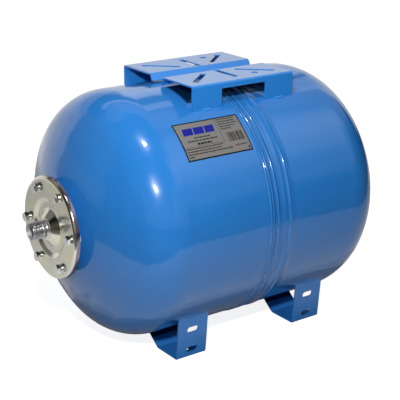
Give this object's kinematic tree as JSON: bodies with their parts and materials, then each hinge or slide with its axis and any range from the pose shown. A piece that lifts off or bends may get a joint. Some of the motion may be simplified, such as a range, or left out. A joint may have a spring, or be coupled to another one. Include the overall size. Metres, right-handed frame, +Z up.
{
  "type": "well pressure tank",
  "caption": "Horizontal bladder pressure tank on four folded feet, with a flanged threaded inlet, slotted pump brackets on top and an air valve behind.",
  "frame": {"origin": "on the floor, at the middle of the rectangle of the four base slots in the feet", "axes": "+X along the tank's axis from the water inlet to the air valve, +Z up, the rating label on the -Y side"},
  "size_m": [0.6034, 0.3828, 0.409],
  "materials": {
    "blue_paint": "gloss powder coat",
    "galvanised_steel": "zinc plated, slightly yellow",
    "zinc_steel": "zinc plated",
    "zinc_fastener": "bright zinc",
    "rubber": "matt",
    "brass": "turned",
    "black_plastic": "moulded",
    "label_film": "satin printed film"
  },
  "bodies": {
    "root": {"front_shell": "blue_paint", "rear_shell": "blue_paint", "seam_weld": "blue_paint", "neck_ring": "blue_paint", "neck_weld": "blue_paint", "bladder": "rubber", "inlet_flange": "galvanised_steel", "inlet_nipple": "zinc_steel", "nipple_weld": "zinc_steel", "flange_bolts": "zinc_fastener", "spring_washers": "zinc_fastener", "weld_nuts": "zinc_fastener", "bracket_far": "blue_paint", "bracket_near": "blue_paint", "bracket_welds": "blue_paint", "foot_front_far": "blue_paint", "foot_front_near": "blue_paint", "foot_rear_far": "blue_paint", "foot_rear_near": "blue_paint", "foot_welds": "blue_paint", "valve_boss": "blue_paint", "air_valve": "brass", "valve_core": "brass", "valve_seal": "rubber", "valve_cap": "black_plastic", "rating_label": "label_film"}
  },
  "joints": []
}
